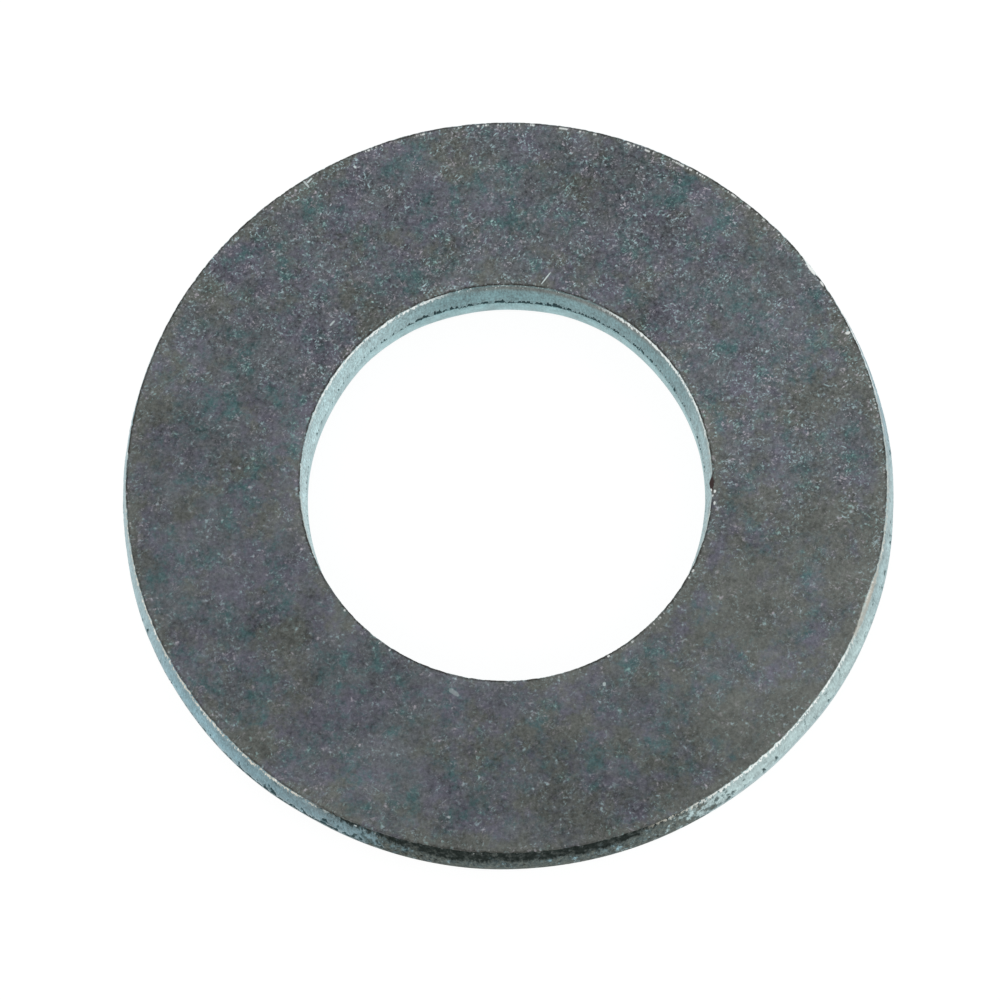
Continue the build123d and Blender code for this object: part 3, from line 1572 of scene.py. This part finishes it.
@dataclass(frozen=True)
class ZincPlate:
    """Blue-passivated zinc on stamped steel, on every surface of the ring.

    Args:
        ring: the ring whose sizes the finish follows.
        face: the plating on the flat faces.
        metallic: how metallic it is.
        specular: the strength of its clear gloss.
        face_roughness: its roughness in the mean.
        shade_roughness: the same under the painted dark sheet and mottle and in the notches.
        outlines: what makes marks and scratches ragged.
        sheen: what makes the roughness uneven.
        pits: the finer part of the relief.
        dimples: the broader part of the relief.
        relief_strength: how strongly the relief turns the surface.
        relief_depth: how deep it is.
        top_fade: how far below the upper face the walls' colour starts.
        bottom_fade: how far above the lower face it starts.
        burr: the colour of the burr.
        glint_spots: the colour of the painted glints beside the burr and on the rim's edge.
        buff: the colour of the duller beige patches on the rim.
    """

    ring: Ring
    face: FacePlate = FacePlate()
    metallic: float = 0.9
    specular: float = 0.0
    face_roughness: float = 0.38
    shade_roughness: float = 0.60
    outlines: Pattern = Pattern(12.0 / MM, 2.0, 0.6, 18.0)
    sheen: Pattern = Pattern(3.0 / MM, 3.0, 0.6, 10.0, 0.2)
    pits: Pattern = Pattern(10.0 / MM, 2.0, 0.6, 8.0)
    dimples: Pattern = Pattern(2.5 / MM, 2.0, 0.5, 9.0, 0.6)
    relief_strength: float = 0.5
    relief_depth: float = 0.01 * MM
    top_fade: Ramp = Ramp(0.004 * MM, 0.02 * MM)
    bottom_fade: Ramp = Ramp(0.02 * MM, 0.10 * MM)
    burr: Colour = (0.060, 0.044, 0.042)
    glint_spots: Colour = (0.80, 0.84, 0.82)
    buff: Colour = (0.42, 0.40, 0.35)

    def walls(self) -> tuple[CutWall, CutWall]:
        """Returns the finish of the rim and of the bore."""
        # painted light and shade: the paler sectors are painted highlights; the darker sectors, the dull band
        # under the edge and the notches are painted shade
        rim = CutWall(
            form=self.ring.rim, torn=(0.205, 0.355, 0.405), smooth=(0.20, 0.33, 0.37),
            foot=(0.26, 0.33, 0.31), pale=(0.42, 0.55, 0.55), notch=(0.028, 0.054, 0.060), grit=0.40,
            highlight_sectors=(Sector(314.0, 24.0, 10.0), Sector(184.0, 14.0, 10.0, 0.40),
                          Sector(347.0, 12.0, 8.0, 0.7)),
            shaded=(Sector(240.0, 12.0, 12.0),))
        bore = CutWall(
            form=self.ring.bore, torn=(0.152, 0.270, 0.288), smooth=(0.29, 0.46, 0.48),
            foot=(0.41, 0.54, 0.55), pale=(0.41, 0.58, 0.60), notch=(0.028, 0.050, 0.054), grit=0.68,
            highlight_sectors=(Sector(160.0, 34.0, 24.0), Sector(-8.0, 20.0, 18.0, 0.40)),
            dull=(Sector(66.0, 28.0, 10.0),))
        return rim, bore

    def front_shade(self) -> PaintedWallShade:
        """Returns the painted dark sheet and the painted shade mottle on the rim's front."""
        # painted shade: a dark sheet and a mottle on the rim's front stand in for its dark reflection
        shade_sheet = PaintedShadeSheet(self.ring.rim, (
            Sector(261.0, 8.0, 10.0, 0.95), Sector(274.0, 9.0, 9.0, 0.9), Sector(265.0, 27.0, 5.0, 0.30)))
        shade_mottle = ShadeMottle(self.ring.rim, (Sector(264.0, 15.0, 12.0), Sector(282.0, 13.0, 10.0, 0.9)))
        return PaintedWallShade(shade_sheet, shade_mottle)

    def edges(self) -> tuple[WornEdge, WornEdge]:
        """Returns the upper edges of the rim and of the bore."""
        # painted light and shade: bright and dim lip highlights, glints and the dark outline of each edge
        rim = WornEdge(
            form=self.ring.rim, bright=(Sector(313.0, 15.0, 7.0),),
            dim=(Sector(208.0, 28.0, 5.0), Sector(294.0, 4.0, 4.0, 0.8), Sector(342.0, 14.0, 6.0, 0.45)),
            glinting=(Sector(70.0, 48.0, 14.0), Sector(8.0, 16.0, 6.0, 0.8), Sector(336.0, 8.0, 3.0, 0.5),
                      Sector(190.0, 12.0, 8.0, 0.3)),
            outlined=(Sector(98.0, 88.0, 10.0), Sector(228.0, 40.0, 8.0, 0.55), Sector(0.0, 14.0, 6.0)),
            lip_depth=0.085 * MM, lip_width=0.09 * MM)
        bore = WornEdge(
            form=self.ring.bore, bright=(Sector(34.0, 21.0, 6.0, 0.9), Sector(131.0, 24.0, 8.0)),
            dim=(Sector(-4.0, 14.0, 8.0, 0.55),),
            glinting=(Sector(226.0, 10.0, 8.0), Sector(308.0, 26.0, 12.0)),
            outlined=(Sector(262.0, 92.0, 10.0), Sector(80.0, 88.0, 10.0)),
            lip_depth=0.12 * MM, lip_width=0.09 * MM)
        return rim, bore

    def marks(self) -> Sequence[Mark]:
        """Returns the single spots: the burr, painted glints beside it and on the rim's edge, and duller
        beige patches on the rim.
        """
        top, low = self.ring.thickness, self.ring.thickness - 0.06 * MM
        bore, rim = self.ring.bore.edge_radius, self.ring.rim.edge_radius
        return (
            Mark(-5.4, bore - 0.02 * MM, top, *mm(0.21, 0.085, 0.16), self.burr),
            # painted glints beside the burr
            Mark(-7.2, bore - 0.02 * MM, top, *mm(0.04, 0.03, 0.10), self.glint_spots, 0.9),
            Mark(-7.5, bore + 0.09 * MM, top, *mm(0.05, 0.03, 0.10), self.glint_spots),
            Mark(-8.8, bore + 0.04 * MM, top, *mm(0.04, 0.03, 0.10), self.glint_spots, 0.8),
            Mark(-10.9, bore + 0.10 * MM, top, *mm(0.05, 0.03, 0.10), self.glint_spots, 0.9),
            # painted glints on the rim's edge
            Mark(31.5, rim - 0.06 * MM, top, *mm(0.20, 0.035, 0.10), self.glint_spots),
            Mark(28.6, rim - 0.05 * MM, top, *mm(0.08, 0.030, 0.10), self.glint_spots),
            Mark(19.8, rim - 0.12 * MM, top, *mm(0.05, 0.06, 0.05), self.glint_spots),
            Mark(334.5, rim + 0.01 * MM, low, *mm(0.80, 0.09, 0.16), self.buff, 0.6),
            Mark(338.5, rim + 0.02 * MM, low, *mm(0.55, 0.08, 0.12), self.buff, 0.6),
        )

    def scratches(self) -> Sequence[Scratch]:
        """Returns the single scratches and dots on the upper face."""
        return (
            Scratch(*mm(1.44, 5.41, 0.40, 0.034), 49.0),
            Scratch(*mm(-4.64, 8.51, 0.28, 0.050), -56.0, 0.8),
            Scratch(*mm(-4.54, 8.60, 0.19, 0.045), 43.0),
            Scratch(*mm(-3.33, 8.88, 0.09, 0.055), -50.0),
            Scratch(*mm(-4.20, 4.62, 0.18, 0.050), 45.0, 0.7),
            Scratch(*mm(2.11, -5.60, 0.10, 0.080), 80.0, 0.6),
            Scratch(*mm(-1.73, -5.52, 0.30, 0.110), -40.0, 0.30),
        )

    def material(self) -> bpy.types.Material:
        """Makes the material.

        Returns:
            The procedural material.
        """
        made, g = empty_material("zinc_plate")
        place, in_bore = self.ring.place(g, g.add("ShaderNodeTexCoord").outputs["Object"])
        ragged = g.minus(self.outlines.at(place), NOISE_MEAN)
        colour = self.face.colour(place, self.ring)
        for scratch in self.scratches():
            colour = scratch.over(place, ragged, colour)
        wall, cover = self.wall(place, in_bore)
        on_wall = self.wall_share(place)
        colour = g.mix(colour, wall, on_wall)
        for edge in self.edges():
            colour = edge.over(place, self.ring.thickness, g.rest(cover), colour)
        for mark in self.marks():
            colour = mark.over(place, ragged, colour)
        # painted shade: under the dark sheet, the mottle and in the notches the finish is rougher and less
        # metallic
        dull = g.product(cover, on_wall)
        roughness = g.total(g.blend(self.face_roughness, self.shade_roughness, dull), self.sheen.swing(place))
        relief = g.total(self.pits.at(place), self.dimples.swing(place))
        bump = g.add("ShaderNodeBump", {"Strength": self.relief_strength, "Distance": self.relief_depth,
                                        "Height": relief})
        shader = g.add("ShaderNodeBsdfPrincipled", {
            "Base Color": colour, "Metallic": g.product(self.metallic, g.rest(dull)), "Roughness": roughness,
            "Specular IOR Level": self.specular, "Normal": bump.outputs[0]})
        g.add("ShaderNodeOutputMaterial", {"Surface": shader.outputs[0]})
        return made

    def wall(self, place: RingPlace, in_bore: Socket) -> tuple[Socket, Socket]:
        """Works out the colour of both walls.

        Args:
            place: where the point lies.
            in_bore: 1 nearer the bore, 0 nearer the rim.

        Returns:
            The colour, and how far the painted dark sheet, the painted shade mottle or a notch takes the
            metal's shine.
        """
        g, top, seed = place.graph, self.ring.thickness, self.ring.seed
        rim, bore = self.walls()
        rim_colour, rim_notch = rim.colour(place, top, seed)
        rim_colour, shade_sheet = self.front_shade().over(place, top, rim_colour)
        bore_colour, bore_notch = bore.colour(place, top, seed)
        return g.mix(rim_colour, bore_colour, in_bore), g.blend(g.most(shade_sheet, rim_notch), bore_notch, in_bore)

    def wall_share(self, place: RingPlace) -> Socket:
        """Works out how far the walls' colour shows.

        Args:
            place: where the point lies.

        Returns:
            1 on the walls and 0 on the flat faces, with the worn edges in between.
        """
        g = place.graph
        below = g.minus(self.ring.thickness, place.height)
        return g.product(self.top_fade.at(g, below), self.bottom_fade.at(g, place.height))


# --------------------------------------------------------------------------------------
# The stage
# --------------------------------------------------------------------------------------


def empty_material(name: str) -> tuple[bpy.types.Material, Graph]:
    """Makes a material without nodes.

    Args:
        name: its name.

    Returns:
        The material, and the graph of its node tree.
    """
    material = bpy.data.materials.new(name)
    material.use_nodes = True
    material.node_tree.nodes.clear()
    return material, Graph(material.node_tree)


@dataclass(frozen=True)
class Lamp:
    """A square soft lamp that faces the washer.

    Args:
        name: its name.
        place: its centre.
        size: the length of its side.
        radiance: how bright its surface is, 1 being white.
    """

    name: str
    place: tuple[float, float, float]
    size: float
    radiance: float = 0.9

    def build(self) -> bpy.types.Object:
        """Makes the lamp.

        Returns:
            The lamp.
        """
        data = bpy.data.lights.new(self.name, "AREA")
        data.shape = "SQUARE"
        data.size = self.size
        data.energy = self.radiance * math.pi * self.size * self.size
        lamp = bpy.data.objects.new(self.name, data)
        lamp.location = self.place
        lamp.rotation_euler = (-Vector(self.place)).to_track_quat("-Z", "Y").to_euler()
        bpy.context.scene.collection.objects.link(lamp)
        return lamp


@dataclass(frozen=True)
class Stage:
    """A plain white floor, a white surround and soft lamps.

    Args:
        floor_size: the length of the floor's side.
        floor_gap: how far the floor lies below the washer, so that the two never share a plane.
        floor_grey: the floor's colour for the light that falls on it.
        floor_white: how bright the floor's own white is where it is seen.
        floor_bounce: what it adds there for the light that falls on it.
        horizon: how bright the surround is near the ground.
        zenith: how bright it is overhead.
        dim_from: how high up it starts to dim.
        dim_to: how high up it ends.
        lamps: the lamps.
    """

    floor_size: float = 3.0
    floor_gap: float = 0.02 * MM
    floor_grey: float = 0.8
    floor_white: float = 0.90
    floor_bounce: float = 0.15
    horizon: float = 1.1
    zenith: float = 0.78
    dim_from: float = 0.35
    dim_to: float = 0.85
    lamps: Sequence[Lamp] = (
        Lamp("left_lamp", (-0.60, -0.30, 0.32), 0.45),
        Lamp("right_lamp", (0.62, -0.30, 0.32), 0.45),
        Lamp("rear_lamp", (0.0, 0.70, 0.22), 0.40),
    )

    def seen(self, g: Graph) -> Socket:
        """Tells the rays that see the backdrop from the light that falls on it.

        Args:
            g: the graph that tells them apart.

        Returns:
            1 for straight rays, for rays in gloss and for rays through glass, and 0 for the others.
        """
        path = g.add("ShaderNodeLightPath").outputs
        rays = g.total(path["Is Camera Ray"], path["Is Glossy Ray"], path["Is Transmission Ray"])
        return g.math("MINIMUM", rays, 1.0)

    def floor(self) -> bpy.types.Object:
        """Makes the floor.

        Returns:
            The floor, which keeps a faint shadow of the washer.
        """
        half = self.floor_size / 2
        corners = [(x * half, y * half, -self.floor_gap) for x, y in ((-1, -1), (1, -1), (1, 1), (-1, 1))]
        mesh = bpy.data.meshes.new("floor")
        mesh.from_pydata(corners, [], [range(len(corners))])
        material, g = empty_material("white_floor")
        lit = g.add("ShaderNodeBsdfDiffuse", {"Color": (self.floor_grey,) * 3})
        glow = g.add("ShaderNodeEmission", {"Color": WHITE, "Strength": self.floor_white})
        soft = g.add("ShaderNodeBsdfDiffuse", {"Color": (self.floor_bounce,) * 3})
        white = g.add("ShaderNodeAddShader", {0: glow.outputs[0], 1: soft.outputs[0]})
        shader = g.add("ShaderNodeMixShader", {0: self.seen(g), 1: lit.outputs[0], 2: white.outputs[0]})
        g.add("ShaderNodeOutputMaterial", {"Surface": shader.outputs[0]})
        material.cycles.emission_sampling = "NONE"
        mesh.materials.append(material)
        floor = bpy.data.objects.new("floor", mesh)
        bpy.context.scene.collection.objects.link(floor)
        return floor

    def surround(self) -> None:
        """Makes the surround: white round the horizon and dimmer overhead."""
        world = bpy.data.worlds.new("soft_surround")
        world.use_nodes = True
        world.node_tree.nodes.clear()
        g = Graph(world.node_tree)
        upward = g.parts(g.add("ShaderNodeTexCoord").outputs["Generated"])[2]
        strength = g.rise(upward, self.dim_from, self.dim_to, self.horizon, self.zenith)
        sky = g.add("ShaderNodeBackground", {"Color": WHITE, "Strength": strength})
        g.add("ShaderNodeOutputWorld", {"Surface": sky.outputs[0]})
        bpy.context.scene.world = world

    def build(self) -> None:
        """Makes the floor, the surround and the lamps."""
        self.floor()
        self.surround()
        for lamp in self.lamps:
            lamp.build()


@dataclass(frozen=True)
class Viewpoint:
    """The camera: high in front of the washer, through a long lens.

    Args:
        aim: the point that it looks at.
        tilt: the angle between the line of sight and the bore's axis, in degrees.
        roll: how far the camera is turned about its line of sight, in degrees.
        distance: how far it stands from the aim.
        frame_size: the width of the picture, in pixels.
        focal_pixels: the focal length, in pixels of that picture.
        clip: the nearest and the farthest distance that it sees.
    """

    aim: tuple[float, ...] = mm(-0.220, -0.506, 2.0)
    tilt: float = 16.293
    roll: float = -4.309
    distance: float = 143.9 * MM
    frame_size: int = 1000
    focal_pixels: float = 5580.6
    clip: tuple[float, float] = (MM, 10.0)

    def build(self) -> bpy.types.Object:
        """Makes the camera and gives it to the scene.

        Returns:
            The camera.
        """
        data = bpy.data.cameras.new("camera")
        data.lens = data.sensor_width * self.focal_pixels / self.frame_size
        data.clip_start, data.clip_end = self.clip
        camera = bpy.data.objects.new("camera", data)
        turn = Euler((math.radians(self.tilt), 0.0, 0.0)).to_matrix()
        back = turn @ Vector((0.0, 0.0, 1.0))
        camera.location = Vector(self.aim) + back * self.distance
        rolled = turn @ Euler((0.0, 0.0, math.radians(self.roll))).to_matrix()
        camera.rotation_euler = rolled.to_euler()
        bpy.context.scene.collection.objects.link(camera)
        bpy.context.scene.camera = camera
        return camera


def main() -> None:
    """Builds the washer, the stage and the camera."""
    logging.basicConfig(level=logging.INFO, format="%(name)s: %(message)s")
    bpy.context.scene.view_settings.view_transform = "Standard"
    ring = Ring()
    ring.build(ZincPlate(ring).material())
    Stage().build()
    Viewpoint().build()


if __name__ == "__main__":
    main()
